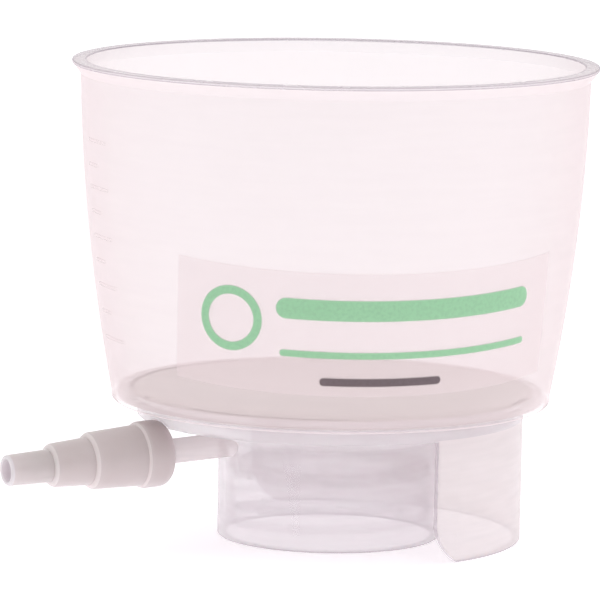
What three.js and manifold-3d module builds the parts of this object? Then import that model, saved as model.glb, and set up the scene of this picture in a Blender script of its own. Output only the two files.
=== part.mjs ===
// Bottle-top vacuum filtration unit, in millimetres, +Z up.
// It stands on its threaded neck and on the half-round skirt behind it, with the vacuum port along -X.
// Heights are measured from the bench, radii from the funnel's axis.
import * as THREE from 'three';
import { mergeVertices } from 'three/addons/utils/BufferGeometryUtils.js';
import Module from 'manifold-3d';

const wasm = await Module();
wasm.setup();

// ---- Facets ----
const ROUND_SIDES = 72; // facets round the large revolved pieces
const SMALL_SIDES = 24; // facets round the port and the hose adapter
const WALL_STEPS = 8; // profile points up the funnel's wall
const CORNER_STEPS = 3; // profile points round a small radius
const COLLAR_STEPS = 5; // and round the end of the adapter's collar

// ---- Membrane, and how the funnel is welded down round it ----
const MEMBRANE = { radius: 45.7, thickness: 0.25 };
const WELD = { innerGap: 0.3, width: 2.15, radialGap: 0.3 };

// ---- Funnel ----
const FUNNEL = {
  wall: 1.3,
  height: 74.7, // from the membrane's underside to the rim
  flare: 7.75, // how much the wall opens from foot to mouth
  bulge: 1.7, // how far the wall swells out from a straight cone
  footCorner: 1.2, // radius round the bottom edge
  hem: 2.2, // how far the wall reaches down past the membrane, round the base
  grip: 1.4, // how far the clamping ring reaches in over the membrane
  clampThickness: 1.3,
};
const LIP = { overhang: 1.9, edge: 0.8, soften: 0.25, coneHeight: 2.3 };

// ---- Base: pan, neck, spout ----
const BASE_WALL = 1.6;
const PAN = {
  underside: 27.4, // height of the outer ring's lower edge
  depth: 5.8, // from there up to the rib tops, where the membrane lies
  inset: 1.9, // how far inside the membrane's edge the ring stands
  flangeDrop: 1.5,
  shelf: 3.9,
  floorThickness: 1.6,
  dropAtNeck: 4.2,
};
const NECK = { radius: 25.2, wall: 1.9, wellWall: 1.7, edge: 0.35 };
const LAND = { thickness: 1.5, fall: 0.7, cover: 3.6 }; // cover: from its underside up to the port's tube
const SPOUT = { bore: 2.9, wall: 1.2, length: 7, tipBevel: 1.4, taper: 0.35 };
const RIBS = { thickness: 0.9, sectors: 8, spoutGap: 3.1, middleRadius: 15, wellGap: 3.5, drop: 0.1 };

// ---- Webs between the neck and the pan, with a hollow edge ----
const GUSSET = {
  thickness: 1.5,
  shelfGap: 0.2,
  height: 19.7, // on the neck, below the pan
  pull: { out: 0.4, up: 0.65 }, // where the edge's curve is drawn to, as shares of its width and height
  directions: [45, 135, 225, 315],
};

// ---- Internal bottle thread, right-handed ----
const THREAD = {
  pitch: 4,
  height: 1.5,
  rootWidth: 2.6,
  crestWidth: 1.1,
  firstHeight: 2.3,
  headroom: 0.8, // between the last turn and the seal ring
  startDegrees: 1.5,
  stepsPerTurn: 36,
  runOut: 0.09, // share of the thread's length that fades in or out at each end
};

// ---- Half-round skirt ----
const SKIRT = { inset: 3.4, draft: 0.1, cutHeight: 7.9, cutLength: 6, cutBow: 0.55 };

// ---- Seal ring under the land ----
const SEAL = { innerRadius: 15.5, radialGap: 0.4, thickness: 2.1 };

// ---- Vacuum port, which slopes down a little towards its open end ----
const PORT = { radius: 2.8, bore: 1.9, bossWall: 0.45, sealGap: 1.1, engagement: 15.9, droopDegrees: 2.4 };

// ---- Stepped hose adapter, pushed over the port ----
const ADAPTER = {
  tuck: 1.7, // how far the collar's end reaches in under the pan's ring
  rise: 1.65, // how far the collar's top stands up past the ring's lower edge
  relief: 0.4, // clearance round the collar where the ring is cut away for it
  fit: 0.3, // clearance round the port and at the socket's bottom
  collar: { radius: 7.5, length: 7.4, corner: 2.6 },
  // each step: radius at its thick end, radius at its thin end, length
  steps: [
    { thick: 6.85, thin: 6.4, length: 12.2 },
    { thick: 5.35, thin: 4.9, length: 9.4 },
    { thick: 3.7, thin: 3.45, length: 10.3 },
  ],
  shoulder: 1.4, // radius of each rounded shoulder
  tip: 0.7, // radius round the open end
  bore: 2.5,
  lead: 0.3, // chamfer at both openings
};

// ---- Label film on the funnel's wall ----
const LABEL = {
  width: 93.2,
  height: 27.4,
  rise: 6.35, // from the membrane's underside to its lower edge
  direction: -107.9, // degrees round the axis to its middle
  curl: 0.77, // how far its edges follow the cone's own curve
  thickness: 0.15,
  gap: 0.15,
  columns: 24,
  rows: 4,
};

// ---- Moulded volume scale on the funnel's wall ----
const SCALE = {
  direction: 173, // degrees round the axis to the scale
  firstMillilitres: 100,
  stepMillilitres: 50,
  longEvery: 100,
  headroom: 15, // left free below the rim
  longWidth: 11,
  shortWidth: 6,
  lineHeight: 0.7,
  relief: 0.35,
  root: 0.5, // how deep a line is sunk in the wall
};

// ---- Values that follow from the ones above ----
const SEAT = PAN.underside + PAN.depth;
const RIM_TOP = SEAT + FUNNEL.height;
const CLAMP_UNDERSIDE = SEAT + MEMBRANE.thickness;
const CLAMP_TOP = CLAMP_UNDERSIDE + FUNNEL.clampThickness;
const CLAMP_RADIUS = MEMBRANE.radius - FUNNEL.grip;
const WELD_RADIUS = MEMBRANE.radius + WELD.innerGap;
const FLANGE_RADIUS = WELD_RADIUS + WELD.width;
const FUNNEL_INNER_FOOT = FLANGE_RADIUS + WELD.radialGap;
const FOOT_RADIUS = FUNNEL_INNER_FOOT + FUNNEL.wall; // outside of the wall, level with the membrane
const MOUTH_RADIUS = FOOT_RADIUS + FUNNEL.flare;
const FUNNEL_FOOT = SEAT - FUNNEL.hem;
const LIP_RADIUS = MOUTH_RADIUS + LIP.overhang;
const PAN_RADIUS = MEMBRANE.radius - PAN.inset;
const SHELF_EDGE = PAN_RADIUS - PAN.shelf;
const PAN_AT_NECK = PAN.underside - PAN.dropAtNeck;
const NECK_BORE = NECK.radius - NECK.wall;
const WELL_RADIUS = NECK.radius - NECK.wellWall;
const BOSS_RADIUS = PORT.radius + PORT.bossWall;
const BOSS_REACH = SEAL.innerRadius - PORT.sealGap - BOSS_RADIUS;
const ADAPTER_START = PAN_RADIUS - ADAPTER.tuck; // distance of its collar's end from the axis
const PORT_HEIGHT = PAN.underside + ADAPTER.rise - ADAPTER.collar.radius; // of the port's axis, there
const DROOP = THREE.MathUtils.degToRad(PORT.droopDegrees);
const PORT_AT_BOSS = PORT_HEIGHT + Math.tan(DROOP) * (ADAPTER_START - BOSS_REACH);
const PORT_LENGTH = (ADAPTER_START - BOSS_REACH) / Math.cos(DROOP) + PORT.engagement;
const LAND_HEIGHT = PORT_AT_BOSS - PORT.radius - LAND.cover; // its underside
const SPOUT_TIP = LAND_HEIGHT - SPOUT.length;
const THREAD_TOP = LAND_HEIGHT - SEAL.thickness - THREAD.headroom - THREAD.rootWidth / 2;
const THREAD_TURNS = (THREAD_TOP - THREAD.firstHeight) / THREAD.pitch;

const radians = THREE.MathUtils.degToRad;
const lerp = THREE.MathUtils.lerp;
const point = (radius, height) => new THREE.Vector2(radius, height);

// ---- Solids ----

// A closed mesh as a manifold-3d solid, for joining and cutting.
function solidOf(geometry) {
  const bare = geometry.clone();
  bare.deleteAttribute('normal');
  bare.deleteAttribute('uv');
  const merged = mergeVertices(bare, 1e-4);
  return new wasm.Manifold(
    new wasm.Mesh({
      numProp: 3,
      vertProperties: merged.getAttribute('position').array,
      triVerts: new Uint32Array(merged.index.array),
    }),
  );
}

// A solid back as a three.js geometry.
function geometryOf(solid) {
  const mesh = solid.getMesh();
  const geometry = new THREE.BufferGeometry();
  geometry.setAttribute('position', new THREE.BufferAttribute(mesh.vertProperties, 3));
  geometry.setIndex(new THREE.BufferAttribute(mesh.triVerts, 1));
  return flatShaded(geometry);
}

function flatShaded(geometry) {
  const loose = geometry.toNonIndexed();
  loose.computeVertexNormals();
  return loose;
}

const join = (solids) => solids.reduce((whole, solid) => whole.add(solid));

// A closed profile of (radius, height) points, listed anticlockwise, turned round the Z axis.
function revolve(profile, sides = ROUND_SIDES) {
  const closed = [...profile, profile[0].clone()];
  return new THREE.LatheGeometry(closed, sides).rotateX(Math.PI / 2);
}

// A solid of revolution whose profile starts and ends on the axis.
function turned(profile, sides) {
  return new THREE.LatheGeometry(profile, sides).rotateX(Math.PI / 2);
}

function rod(radius, length, sides = SMALL_SIDES) {
  return turned([point(0, 0), point(radius, 0), point(radius, length), point(0, length)], sides);
}

// A flat outline of (radius, height) points made into a plate that stands on a radius of the unit.
function radialPlate(outline, thickness, degrees) {
  const shape = new THREE.Shape(outline);
  const plate = new THREE.ExtrudeGeometry(shape, { depth: thickness, bevelEnabled: false });
  plate.translate(0, 0, -thickness / 2);
  return plate.rotateX(Math.PI / 2).rotateZ(radians(degrees));
}

// Points round an arc about (radius, height), from one angle to another in degrees.
function arc(radius, height, bend, from, to, steps = CORNER_STEPS) {
  return Array.from({ length: steps + 1 }, (_, i) => {
    const angle = radians(lerp(from, to, i / steps));
    return point(radius + bend * Math.cos(angle), height + bend * Math.sin(angle));
  });
}

// Lays a piece that stands on Z along the port, with its foot at a distance from the funnel's axis.
function layAlongPort(geometry, reach, height) {
  return geometry.rotateY(-Math.PI / 2 - DROOP).translate(-reach, 0, height);
}

// A closed skin between two surfaces given on the same grid of columns and rows.
function closedPanel(columns, rows, outer, inner) {
  const positions = [];
  const index = [];
  for (const surface of [outer, inner])
    for (let row = 0; row <= rows; row++)
      for (let column = 0; column <= columns; column++)
        positions.push(...surface(column / columns, row / rows).toArray());
  const sheet = (columns + 1) * (rows + 1);
  const at = (side, column, row) => side * sheet + row * (columns + 1) + column;
  const quad = (a, b, c, d) => index.push(a, b, c, a, c, d);
  for (let row = 0; row < rows; row++)
    for (let column = 0; column < columns; column++) {
      const [right, up] = [column + 1, row + 1];
      quad(at(0, column, row), at(0, right, row), at(0, right, up), at(0, column, up));
      quad(at(1, column, row), at(1, column, up), at(1, right, up), at(1, right, row));
    }
  for (let column = 0; column < columns; column++) {
    quad(at(1, column, 0), at(1, column + 1, 0), at(0, column + 1, 0), at(0, column, 0));
    quad(at(0, column, rows), at(0, column + 1, rows), at(1, column + 1, rows), at(1, column, rows));
  }
  for (let row = 0; row < rows; row++) {
    quad(at(0, 0, row), at(0, 0, row + 1), at(1, 0, row + 1), at(1, 0, row));
    quad(at(1, columns, row), at(1, columns, row + 1), at(0, columns, row + 1), at(0, columns, row));
  }
  const geometry = new THREE.BufferGeometry();
  geometry.setAttribute('position', new THREE.Float32BufferAttribute(positions, 3));
  geometry.setIndex(index);
  return geometry;
}

// ---- Funnel ----

// Outside radius of the funnel's wall at a height: a cone from foot to rim with a gentle swell.
function wallRadius(height) {
  const rise = (height - SEAT) / (RIM_TOP - SEAT);
  const cone = lerp(FOOT_RADIUS, MOUTH_RADIUS, rise);
  return cone + 4 * FUNNEL.bulge * rise * (1 - rise);
}

function wallPoints(from, to, inset) {
  return Array.from({ length: WALL_STEPS + 1 }, (_, i) => {
    const height = lerp(from, to, i / WALL_STEPS);
    return point(wallRadius(height) - inset, height);
  });
}

function funnelShell() {
  const { wall, footCorner } = FUNNEL;
  const lipUnder = RIM_TOP - LIP.edge - LIP.coneHeight;
  const profile = [
    point(FUNNEL_INNER_FOOT, FUNNEL_FOOT),
    ...arc(FOOT_RADIUS - footCorner, FUNNEL_FOOT + footCorner, footCorner, -90, 0),
    ...wallPoints(FUNNEL_FOOT + footCorner + 1, lipUnder, 0),
    point(LIP_RADIUS, RIM_TOP - LIP.edge),
    point(LIP_RADIUS, RIM_TOP - LIP.soften),
    point(LIP_RADIUS - LIP.soften, RIM_TOP),
    ...wallPoints(RIM_TOP, CLAMP_TOP + wall, wall),
    point(FUNNEL_INNER_FOOT - wall / 2, CLAMP_TOP),
    point(CLAMP_RADIUS, CLAMP_TOP),
    point(CLAMP_RADIUS, CLAMP_UNDERSIDE),
    point(FUNNEL_INNER_FOOT, CLAMP_UNDERSIDE),
  ];
  return revolve(profile);
}

// Height of the liquid at which the funnel holds a volume, summed in thin slices above the clamp.
function liquidHeight(millilitres) {
  const slice = 0.5;
  let height = CLAMP_TOP;
  let volume = Math.PI * CLAMP_RADIUS ** 2 * FUNNEL.clampThickness;
  while (volume < millilitres * 1000) {
    volume += Math.PI * (wallRadius(height + slice / 2) - FUNNEL.wall) ** 2 * slice;
    height += slice;
  }
  return height;
}

function onWall(degrees, height, offset) {
  const radius = wallRadius(height) + offset;
  return new THREE.Vector3(
    radius * Math.cos(radians(degrees)),
    radius * Math.sin(radians(degrees)),
    height,
  );
}

function scaleLine(millilitres) {
  const height = liquidHeight(millilitres);
  const width = millilitres % SCALE.longEvery === 0 ? SCALE.longWidth : SCALE.shortWidth;
  const span = THREE.MathUtils.radToDeg(width / wallRadius(height));
  const start = SCALE.direction - THREE.MathUtils.radToDeg(SCALE.longWidth / 2 / wallRadius(height));
  const surface = (offset) => (across, up) =>
    onWall(start + span * across, height + SCALE.lineHeight * (up - 0.5), offset);
  return closedPanel(3, 1, surface(SCALE.relief), surface(-SCALE.root));
}

function funnel() {
  const lines = [];
  const top = RIM_TOP - SCALE.headroom;
  for (let ml = SCALE.firstMillilitres; liquidHeight(ml) < top; ml += SCALE.stepMillilitres)
    lines.push(solidOf(scaleLine(ml)));
  return geometryOf(join([solidOf(funnelShell()), ...lines]));
}

// ---- Base ----

// Underside of the pan's floor: a shelf by the ring, then a slope down to the neck.
function panUnderside(radius) {
  const fall = (SHELF_EDGE - radius) / (SHELF_EDGE - NECK.radius);
  return PAN.underside - PAN.dropAtNeck * Math.max(0, fall);
}

const panFloor = (radius) => panUnderside(radius) + PAN.floorThickness;

// Top of the well's floor, falling towards the spout.
function wellFloor(radius) {
  const out = (radius - SPOUT.bore) / (WELL_RADIUS - SPOUT.bore);
  return LAND_HEIGHT + LAND.thickness + LAND.fall * out;
}

function panAndNeck() {
  const ringBore = PAN_RADIUS - BASE_WALL;
  const spoutOutside = SPOUT.bore + SPOUT.wall;
  const flangeUnderside = SEAT - PAN.flangeDrop;
  const profile = [
    point(SPOUT.bore, SPOUT_TIP + SPOUT.tipBevel),
    point(spoutOutside - SPOUT.taper, SPOUT_TIP),
    point(spoutOutside, LAND_HEIGHT),
    point(NECK_BORE, LAND_HEIGHT),
    point(NECK_BORE, NECK.edge),
    point(NECK_BORE + NECK.edge, 0),
    point(NECK.radius - NECK.edge, 0),
    point(NECK.radius, NECK.edge),
    point(NECK.radius, PAN_AT_NECK),
    point(SHELF_EDGE, PAN.underside),
    point(PAN_RADIUS, PAN.underside),
    point(PAN_RADIUS, flangeUnderside),
    point(FLANGE_RADIUS, flangeUnderside),
    point(FLANGE_RADIUS, CLAMP_UNDERSIDE),
    point(WELD_RADIUS, CLAMP_UNDERSIDE),
    point(WELD_RADIUS, SEAT),
    point(ringBore, SEAT),
    point(ringBore, panFloor(ringBore)),
    point(SHELF_EDGE, panFloor(SHELF_EDGE)),
    point(WELL_RADIUS, panFloor(WELL_RADIUS)),
    point(WELL_RADIUS, wellFloor(WELL_RADIUS)),
    point(SPOUT.bore + 1, wellFloor(SPOUT.bore + 1)),
    point(SPOUT.bore, wellFloor(SPOUT.bore) - 1),
  ];
  return revolve(profile);
}

// One rib that stands on the pan's floor, and on the well's if it reaches in that far.
function supportRib(innerRadius, degrees) {
  const sink = PAN.floorThickness / 3;
  const outer = PAN_RADIUS - BASE_WALL / 2;
  const top = SEAT - RIBS.drop;
  const outline = [
    point(outer, top),
    point(outer, panFloor(outer) - sink),
    point(SHELF_EDGE, panFloor(SHELF_EDGE) - sink),
  ];
  if (innerRadius < WELL_RADIUS)
    outline.push(
      point(WELL_RADIUS + NECK.wellWall / 2, panFloor(WELL_RADIUS) - sink),
      point(WELL_RADIUS + NECK.wellWall / 2, wellFloor(WELL_RADIUS) - sink),
      point(innerRadius, wellFloor(innerRadius) - sink),
    );
  else outline.push(point(innerRadius, panFloor(innerRadius) - sink));
  outline.push(point(innerRadius, top));
  return radialPlate(outline.reverse(), RIBS.thickness, degrees);
}

// Ribs of three lengths between which the filtrate runs inwards to the spout.
function supportRibs() {
  const long = SPOUT.bore + RIBS.spoutGap;
  const short = WELL_RADIUS + RIBS.wellGap;
  const pattern = [long, short, RIBS.middleRadius, short]; // inner ends, repeated in each sector
  const count = RIBS.sectors * pattern.length;
  return Array.from({ length: count }, (_, i) =>
    supportRib(pattern[i % pattern.length], (360 / count) * (i + 0.5)),
  );
}

// A tall web in the corner between the neck and the pan.
function gusset(degrees) {
  const inside = NECK.radius - NECK.wellWall / 2;
  const sink = PAN.floorThickness / 2;
  const reach = SHELF_EDGE - GUSSET.shelfGap;
  const foot = point(NECK.radius, PAN_AT_NECK - GUSSET.height);
  const tip = point(reach, panUnderside(reach));
  const pull = point(lerp(foot.x, tip.x, GUSSET.pull.out), lerp(foot.y, tip.y, GUSSET.pull.up));
  const outline = [
    point(inside, foot.y),
    ...new THREE.QuadraticBezierCurve(foot, pull, tip).getPoints(8),
    point(tip.x, tip.y + sink),
    point(inside, PAN_AT_NECK + sink),
  ];
  return radialPlate(outline, GUSSET.thickness, degrees);
}

// The skirt carries the pan's ring down to the bench on the side away from the port.
function skirt() {
  const bore = PAN_RADIUS - BASE_WALL;
  const root = BASE_WALL / 3;
  const top = PAN.underside + root;
  const ring = revolve([
    point(bore - SKIRT.draft, 0),
    point(PAN_RADIUS - SKIRT.draft, 0),
    point(PAN_RADIUS, PAN.underside),
    point(PAN_RADIUS - root, top),
    point(bore + root, top),
    point(bore, PAN.underside),
  ]);
  const side = new THREE.Shape();
  side.moveTo(SKIRT.inset, top + 1);
  side.lineTo(SKIRT.inset, SKIRT.cutHeight);
  side.quadraticCurveTo(
    SKIRT.inset + (SKIRT.cutLength / 2) * (1 - SKIRT.cutBow),
    (SKIRT.cutHeight / 2) * (1 - SKIRT.cutBow / 2),
    SKIRT.inset + SKIRT.cutLength,
    -0.01,
  );
  side.lineTo(PAN_RADIUS + 1, -0.01);
  side.lineTo(PAN_RADIUS + 1, top + 1);
  const width = 2 * (PAN_RADIUS + 1);
  const outline = new THREE.ExtrudeGeometry(side, { depth: width, bevelEnabled: false, curveSegments: 8 });
  outline.translate(0, 0, -width / 2).rotateX(Math.PI / 2);
  return solidOf(ring).intersect(solidOf(outline));
}

// A ridge of trapezoid section that climbs the neck's bore and fades out at both ends.
function thread() {
  const steps = Math.round(THREAD_TURNS * THREAD.stepsPerTurn);
  const root = NECK_BORE + NECK.wall / 3;
  const positions = [];
  const index = [];
  for (let i = 0; i <= steps; i++) {
    const along = i / steps;
    const grown = Math.min(1, along / THREAD.runOut, (1 - along) / THREAD.runOut);
    const crest = lerp(root - 0.1, NECK_BORE - THREAD.height, grown);
    const angle = radians(THREAD.startDegrees + 360 * THREAD_TURNS * along);
    const height = THREAD.firstHeight + THREAD.pitch * THREAD_TURNS * along;
    const section = [
      point(root, -THREAD.rootWidth / 2),
      point(crest, -THREAD.crestWidth / 2),
      point(crest, THREAD.crestWidth / 2),
      point(root, THREAD.rootWidth / 2),
    ];
    for (const { x, y } of section) positions.push(x * Math.cos(angle), x * Math.sin(angle), height + y);
  }
  for (let i = 0; i < steps; i++)
    for (let k = 0; k < 4; k++) {
      const [a, b] = [4 * i + k, 4 * i + ((k + 1) % 4)];
      index.push(a, b + 4, a + 4, a, b, b + 4);
    }
  const last = 4 * steps;
  index.push(0, 2, 1, 0, 3, 2, last, last + 1, last + 2, last, last + 2, last + 3);
  const ridge = new THREE.BufferGeometry();
  ridge.setAttribute('position', new THREE.Float32BufferAttribute(positions, 3));
  ridge.setIndex(index);
  return ridge;
}

// The port's tube runs from its open end, over the land, to a boss that opens down into the bottle.
function portTube() {
  const tube = layAlongPort(rod(PORT.radius, PORT_LENGTH), BOSS_REACH, PORT_AT_BOSS);
  const bossBottom = LAND_HEIGHT + LAND.thickness / 2;
  const boss = rod(BOSS_RADIUS, PORT_AT_BOSS + BOSS_RADIUS - bossBottom);
  boss.translate(-BOSS_REACH, 0, bossBottom);
  return join([solidOf(tube), solidOf(boss)]);
}

function portBore() {
  const along = layAlongPort(rod(PORT.bore, PORT_LENGTH + 1), BOSS_REACH, PORT_AT_BOSS);
  const down = rod(PORT.bore, PORT_AT_BOSS - LAND_HEIGHT + 1);
  down.translate(-BOSS_REACH, 0, LAND_HEIGHT - 1);
  return join([solidOf(along), solidOf(down)]);
}

// The pan's ring is cut away round the rounded end of the adapter's collar.
function collarRelief() {
  const { collar, relief, tuck } = ADAPTER;
  const length = tuck + collar.corner;
  const profile = [
    point(0, -relief),
    ...arc(collar.radius - collar.corner, collar.corner, collar.corner + relief, -90, 0, COLLAR_STEPS),
    point(collar.radius + relief, length),
    point(0, length),
  ];
  return layAlongPort(turned(profile, SMALL_SIDES), ADAPTER_START, PORT_HEIGHT);
}

function base() {
  const moulding = join([
    solidOf(panAndNeck()).subtract(solidOf(collarRelief())),
    skirt(),
    ...supportRibs().map(solidOf),
    ...GUSSET.directions.map((degrees) => solidOf(gusset(degrees))),
    solidOf(thread()),
    portTube(),
  ]);
  return geometryOf(moulding.subtract(portBore()));
}

// ---- Membrane, seal ring, adapter, label ----

function membrane() {
  const { radius, thickness } = MEMBRANE;
  const disc = rod(radius, thickness, ROUND_SIDES);
  return disc.translate(0, 0, SEAT);
}

function sealRing() {
  const outer = NECK_BORE - SEAL.radialGap;
  const bottom = LAND_HEIGHT - SEAL.thickness;
  return revolve([
    point(SEAL.innerRadius, bottom),
    point(outer, bottom),
    point(outer, LAND_HEIGHT),
    point(SEAL.innerRadius, LAND_HEIGHT),
  ]);
}

// A rounded shoulder, as far round as the next part's radius.
function shoulder(radius, end, bend, next) {
  const share = THREE.MathUtils.clamp((next - radius + bend) / bend, 0, 1);
  return arc(radius - bend, end - bend, bend, 0, THREE.MathUtils.radToDeg(Math.acos(share)));
}

// The adapter stands on its collar's end here: heights run from that end to the tip.
function hoseAdapter() {
  const { collar, bore, fit, lead, steps } = ADAPTER;
  const socket = PORT.radius + fit;
  const socketDepth = PORT.engagement + fit;
  const outside = [
    point(socket + lead, 0),
    ...arc(collar.radius - collar.corner, collar.corner, collar.corner, -90, 0, COLLAR_STEPS),
    ...shoulder(collar.radius, collar.length, ADAPTER.shoulder, steps[0].thick),
  ];
  let height = collar.length;
  steps.forEach((step, i) => {
    outside.push(point(step.thick, height));
    height += step.length;
    if (i < steps.length - 1)
      outside.push(...shoulder(step.thin, height, ADAPTER.shoulder, steps[i + 1].thick));
    else outside.push(...shoulder(step.thin, height, ADAPTER.tip, bore + lead));
  });
  const inside = [
    point(bore + lead, height),
    point(bore, height - lead),
    point(bore, socketDepth + (socket - bore)),
    point(socket, socketDepth),
    point(socket, lead),
  ];
  return revolve([...outside, ...inside], SMALL_SIDES);
}

// A nearly flat rectangle wrapped on the wall: on a cone its edges rise towards the ends.
function labelPoint(across, up, offset) {
  const labelBottom = SEAT + LABEL.rise;
  const middle = labelBottom + LABEL.height / 2;
  const slope = (wallRadius(middle + 1) - wallRadius(middle - 1)) / 2;
  const rolledRadius = wallRadius(middle) / Math.sin(Math.atan(slope));
  const along = LABEL.width * (across - 0.5);
  const height = labelBottom + LABEL.height * up + (LABEL.curl * along ** 2) / (2 * rolledRadius);
  const turn = THREE.MathUtils.radToDeg(along / wallRadius(height));
  return onWall(LABEL.direction + turn, height, offset);
}

function label() {
  const outer = (across, up) => labelPoint(across, up, LABEL.gap + LABEL.thickness);
  const inner = (across, up) => labelPoint(across, up, LABEL.gap);
  return flatShaded(closedPanel(LABEL.columns, LABEL.rows, outer, inner));
}

// ---- Assembly ----

const clearPlastic = { color: '#ece4e8', roughness: 0.32, metalness: 0, transparent: true, opacity: 0.45 };
const FINISHES = {
  funnel: clearPlastic,
  base: clearPlastic,
  filter_membrane: { color: '#e4dedc', roughness: 0.85, metalness: 0 },
  bottle_seal_ring: { color: '#e9e4e2', roughness: 0.7, metalness: 0 },
  hose_adapter: { color: '#d2c7ca', roughness: 0.45, metalness: 0 },
  front_label: { color: '#f6eff0', roughness: 0.5, metalness: 0, transparent: true, opacity: 0.6 },
};

const unit = new THREE.Group();

function addPiece(name, geometry) {
  const piece = new THREE.Mesh(geometry, new THREE.MeshStandardMaterial(FINISHES[name]));
  piece.name = name;
  unit.add(piece);
  return piece;
}

addPiece('funnel', funnel());
addPiece('base', base());
addPiece('filter_membrane', membrane());
addPiece('bottle_seal_ring', sealRing());
addPiece('front_label', label());
const adapter = addPiece('hose_adapter', hoseAdapter());
adapter.rotation.y = -Math.PI / 2 - DROOP;
adapter.position.set(-ADAPTER_START, 0, PORT_HEIGHT);

// The origin is below the middle of the whole length.
const extent = new THREE.Box3().setFromObject(unit, true);
unit.position.x = -(extent.min.x + extent.max.x) / 2;

const group = new THREE.Group();
group.add(unit);
export default group;
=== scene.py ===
"""Looks of the bottle-top vacuum filtration unit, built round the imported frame. Metres, +Z up."""
import math

import bpy
from mathutils import Matrix, Vector


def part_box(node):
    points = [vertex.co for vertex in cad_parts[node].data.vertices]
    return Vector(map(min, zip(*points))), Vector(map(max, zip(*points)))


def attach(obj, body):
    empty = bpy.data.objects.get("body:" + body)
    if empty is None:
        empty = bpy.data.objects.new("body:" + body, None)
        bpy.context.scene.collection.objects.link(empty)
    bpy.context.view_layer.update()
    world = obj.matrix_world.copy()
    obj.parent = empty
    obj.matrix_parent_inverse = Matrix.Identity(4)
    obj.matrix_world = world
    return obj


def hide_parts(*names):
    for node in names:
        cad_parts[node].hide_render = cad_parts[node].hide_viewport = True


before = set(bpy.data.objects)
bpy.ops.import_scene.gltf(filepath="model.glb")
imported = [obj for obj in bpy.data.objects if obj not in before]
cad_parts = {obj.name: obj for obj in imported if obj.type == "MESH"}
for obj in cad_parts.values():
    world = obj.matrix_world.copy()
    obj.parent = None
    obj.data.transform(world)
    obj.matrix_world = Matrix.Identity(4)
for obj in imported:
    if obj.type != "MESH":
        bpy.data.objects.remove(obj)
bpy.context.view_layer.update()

# ---------------------------------------------------------------------------
# Sizes read from the frame
# ---------------------------------------------------------------------------
MM = 0.001
MILLILITRE = 1e-6  # in cubic metres
funnel_low, funnel_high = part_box("funnel")
membrane_low, membrane_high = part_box("filter_membrane")
seal_low, seal_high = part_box("bottle_seal_ring")

AXIS_X = (funnel_low.x + funnel_high.x) / 2
LIP_RADIUS = (funnel_high.x - funnel_low.x) / 2
RIM_TOP = funnel_high.z
FUNNEL_FOOT = funnel_low.z
SEAT = membrane_low.z  # the membrane's underside
CLAMP_UNDERSIDE = membrane_high.z
MEMBRANE_RADIUS = (membrane_high.x - membrane_low.x) / 2
SEAL_RADIUS = (seal_high.x - seal_low.x) / 2

# ---------------------------------------------------------------------------
# Sizes of each moulding, in metres
# ---------------------------------------------------------------------------
ROUND_SIDES = 192
SMALL_SIDES = 64
MERGE_DISTANCE = 1e-7

WALL = 1.3 * MM
WALL_STEPS = 28
CLAMP_THICKNESS = 1.3 * MM
CLAMP_TOP = CLAMP_UNDERSIDE + CLAMP_THICKNESS
CLAMP_RADIUS = MEMBRANE_RADIUS - 1.4 * MM
WELD_RADIUS = MEMBRANE_RADIUS + 0.3 * MM
FLANGE_RADIUS = WELD_RADIUS + 2.15 * MM
INNER_FOOT = FLANGE_RADIUS + 0.3 * MM
FOOT_RADIUS = INNER_FOOT + WALL
MOUTH_RADIUS = LIP_RADIUS - 1.9 * MM
WALL_SWELL = 1.7 * MM
LIP_EDGE = 0.8 * MM
LIP_CONE = 2.3 * MM
LIP_ROUND = 0.25 * MM
LIP_FOOT = RIM_TOP - LIP_EDGE - LIP_CONE
RIM_ROUND = 0.3 * MM
FOOT_ROUND = 1.15 * MM

PAN_WALL = 1.6 * MM
PAN_RADIUS = MEMBRANE_RADIUS - 1.9 * MM
PAN_UNDERSIDE = SEAT - 5.8 * MM
FLANGE_UNDERSIDE = SEAT - 1.5 * MM
SHELF_EDGE = PAN_RADIUS - 3.9 * MM
PAN_FLOOR = 1.6 * MM
PAN_ROUND = 0.4 * MM
PAN_AT_NECK = PAN_UNDERSIDE - 4.2 * MM
NECK_RADIUS = 25.2 * MM
NECK_BORE = NECK_RADIUS - 1.9 * MM
WELL_RADIUS = NECK_RADIUS - 1.7 * MM
NECK_EDGE = 0.35 * MM
LAND_UNDERSIDE = seal_high.z
LAND_THICKNESS = 1.5 * MM
WELL_FALL = 0.7 * MM
SPOUT_BORE = 2.9 * MM
SPOUT_WALL = 1.2 * MM
SPOUT_TIP = LAND_UNDERSIDE - 7.0 * MM
SPOUT_BEVEL = 1.4 * MM

RIB_THICKNESS = 0.9 * MM
RIB_TOP = SEAT - 0.1 * MM
RIB_ENDS = (6.0 * MM, WELL_RADIUS + 3.5 * MM, 15.0 * MM, WELL_RADIUS + 3.5 * MM)
RIB_SECTORS = 8
GUSSET_THICKNESS = 1.5 * MM
GUSSET_TIP = SHELF_EDGE - 0.2 * MM
GUSSET_HEIGHT = 19.7 * MM
GUSSET_PULL = (0.4, 0.65)  # where its hollow edge is drawn to, as shares of its width and height
GUSSET_DIRECTIONS = (45, 135, 225, 315)

THREAD_PITCH = 4.0 * MM
THREAD_TURNS = 2.487
THREAD_HEIGHT = 1.5 * MM
THREAD_SINK = 0.6 * MM  # of its root, into the neck's wall
THREAD_ROOT = 2.6 * MM
THREAD_CREST = 1.1 * MM
THREAD_FIRST = 2.3 * MM
THREAD_STEPS = 48  # steps in a turn
THREAD_RUN_OUT = 0.09  # share of the length that fades at each end

SKIRT_INSET = 3.4 * MM
SKIRT_DRAFT = 0.1 * MM
SKIRT_CUT_HEIGHT = 7.9 * MM
SKIRT_CUT_LENGTH = 6.0 * MM
SKIRT_CUT_BOW = 0.55

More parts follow.
